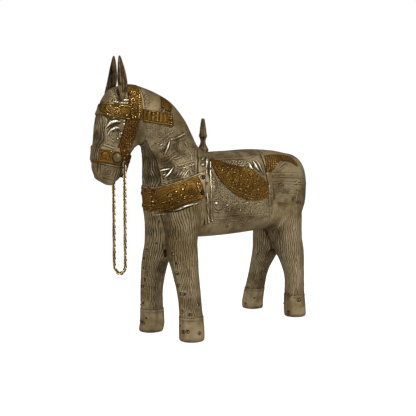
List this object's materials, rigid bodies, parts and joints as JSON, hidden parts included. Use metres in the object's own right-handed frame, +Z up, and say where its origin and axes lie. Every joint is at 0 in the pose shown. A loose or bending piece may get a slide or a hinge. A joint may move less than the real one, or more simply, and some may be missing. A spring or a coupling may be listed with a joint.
{
  "type": "horse figure",
  "caption": "Standing toy horse carved in wood and clad in nailed metal sheet, with a turned pommel, brass straps and saddle flaps, and a chain rein that swings from the jaw.",
  "frame": {"origin": "on the floor, under the middle of the horse's length and width", "axes": "+X towards the tail, so the horse faces -X and its left side is towards -Y; +Z up"},
  "size_m": [0.331, 0.0934, 0.3008],
  "materials": {
    "carved_wood": "dark, dry, carved",
    "white_metal": "hammered and aged",
    "aged_brass": "embossed and aged",
    "dark_iron": "dark"
  },
  "bodies": {
    "horse": {"belly_sheet": "white_metal", "body_core": "carved_wood", "breast_collar": "aged_brass", "breast_sheet": "white_metal", "browband": "aged_brass", "cheek_strap_left": "aged_brass", "cheek_strap_right": "aged_brass", "crest_patch": "aged_brass", "crest_sheet": "white_metal", "croup_plate": "aged_brass", "croup_strap_left": "aged_brass", "croup_strap_right": "aged_brass", "crown_strap": "aged_brass", "ear_left": "carved_wood", "ear_right": "carved_wood", "face_sheet_left": "white_metal", "face_sheet_right": "white_metal", "finial": "carved_wood", "haunch_sheet_left": "white_metal", "haunch_sheet_right": "white_metal", "head_core": "carved_wood", "head_dowel": "carved_wood", "hoof_cap_front_left": "white_metal", "hoof_cap_front_right": "white_metal", "hoof_cap_rear_left": "white_metal", "hoof_cap_rear_right": "white_metal", "leg_core_front_left": "carved_wood", "leg_core_front_right": "carved_wood", "leg_core_rear_left": "carved_wood", "leg_core_rear_right": "carved_wood", "leg_sheet_front_left": "white_metal", "leg_sheet_front_right": "white_metal", "leg_sheet_rear_left": "white_metal", "leg_sheet_rear_right": "white_metal", "muzzle_sheet": "white_metal", "neck_core": "carved_wood", "neck_dowel": "carved_wood", "neck_front_sheet": "white_metal", "neck_sheet_left": "white_metal", "neck_sheet_right": "white_metal", "neck_strap_left": "aged_brass", "neck_strap_right": "aged_brass", "nose_strip": "white_metal", "noseband": "aged_brass", "noseband_boss_left": "aged_brass", "noseband_boss_right": "aged_brass", "poll_sheet": "white_metal", "rein_pin_left": "dark_iron", "rein_pin_right": "dark_iron", "rump_sheet": "white_metal", "saddle_cloth_left": "white_metal", "saddle_cloth_right": "white_metal", "saddle_flap_left": "aged_brass", "saddle_flap_right": "aged_brass", "saddle_seat": "white_metal", "tail": "carved_wood"},
    "rein": {"rein_chain": "white_metal"}
  },
  "joints": [
    {"name": "rein_swing", "type": "hinge", "parent": "horse", "child": "rein", "pos_m": [-0.13073, 0, 0.192], "axis": [0, 1, 0], "range_deg": [-27, 25]}
  ]
}
